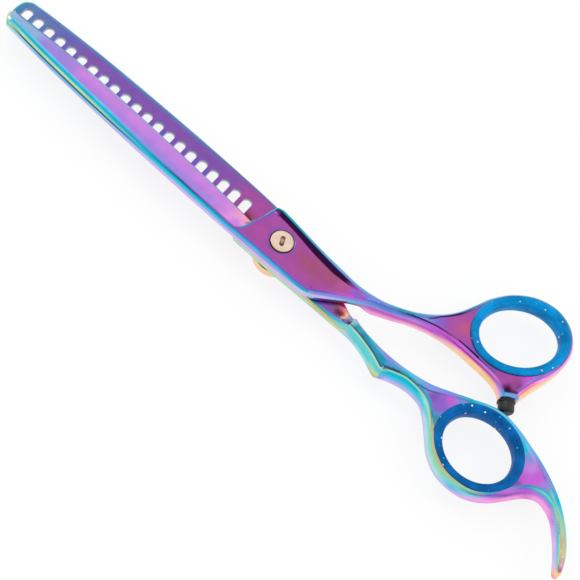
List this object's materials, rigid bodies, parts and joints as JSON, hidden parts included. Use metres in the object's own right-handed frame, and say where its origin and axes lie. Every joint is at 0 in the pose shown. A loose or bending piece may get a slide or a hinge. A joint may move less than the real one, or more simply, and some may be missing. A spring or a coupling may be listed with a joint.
{
  "type": "thinning shears",
  "caption": "Thinning shears with a slotted blade and a solid blade on a pivot screw, offset finger rings with soft inserts, a stop bumper and a finger tang.",
  "frame": {"origin": "centre of the tension nut's flat rear face, on the pivot axis", "axes": "+X along the blades from the pivot towards the handles (the tips point to -X), +Y towards the thumb ring, +Z along the pivot axis from the nut to the screw head"},
  "size_m": [0.2453, 0.0744, 0.0123],
  "materials": {
    "finger_steel": "polished steel with an iridescent blue, violet and green oxide film",
    "thumb_steel": "polished steel with an iridescent magenta, violet and blue oxide film",
    "insert_plastic": "glossy translucent blue with fine glitter flakes",
    "bumper_rubber": "matt black rubber",
    "screw_steel": "polished, rose gold tint",
    "nut_steel": "satin, pale gold tint",
    "bush_brass": "plain turned",
    "washer_plastic": "smooth low-friction plastic",
    "plain_steel": "plain steel"
  },
  "bodies": {
    "finger_half": {"finger_half": "finger_steel", "finger_insert": "insert_plastic", "ride_washer": "washer_plastic", "thrust_washer": "washer_plastic"},
    "thumb_half": {"thumb_half": "thumb_steel", "thumb_insert": "insert_plastic", "bumper": "bumper_rubber", "bumper_stud": "plain_steel", "pivot_bush": "bush_brass"},
    "pivot_screw": {"pivot_screw": "screw_steel"},
    "tension_nut": {"tension_nut": "nut_steel", "spring_washer": "plain_steel"}
  },
  "joints": [
    {"name": "blade_pivot", "type": "hinge", "parent": "finger_half", "child": "thumb_half", "pos_m": [0, 0, 0.008], "axis": [0, 0, 1], "range_deg": [0, 90]},
    {"name": "screw_turn", "type": "hinge", "parent": "finger_half", "child": "pivot_screw", "pos_m": [0, 0, 0.008], "axis": [0, 0, 1], "range_deg": [-90, 90]},
    {"name": "nut_turn", "type": "hinge", "parent": "finger_half", "child": "tension_nut", "pos_m": [0, 0, 0.0015], "axis": [0, 0, 1], "range_deg": [-90, 90]}
  ]
}
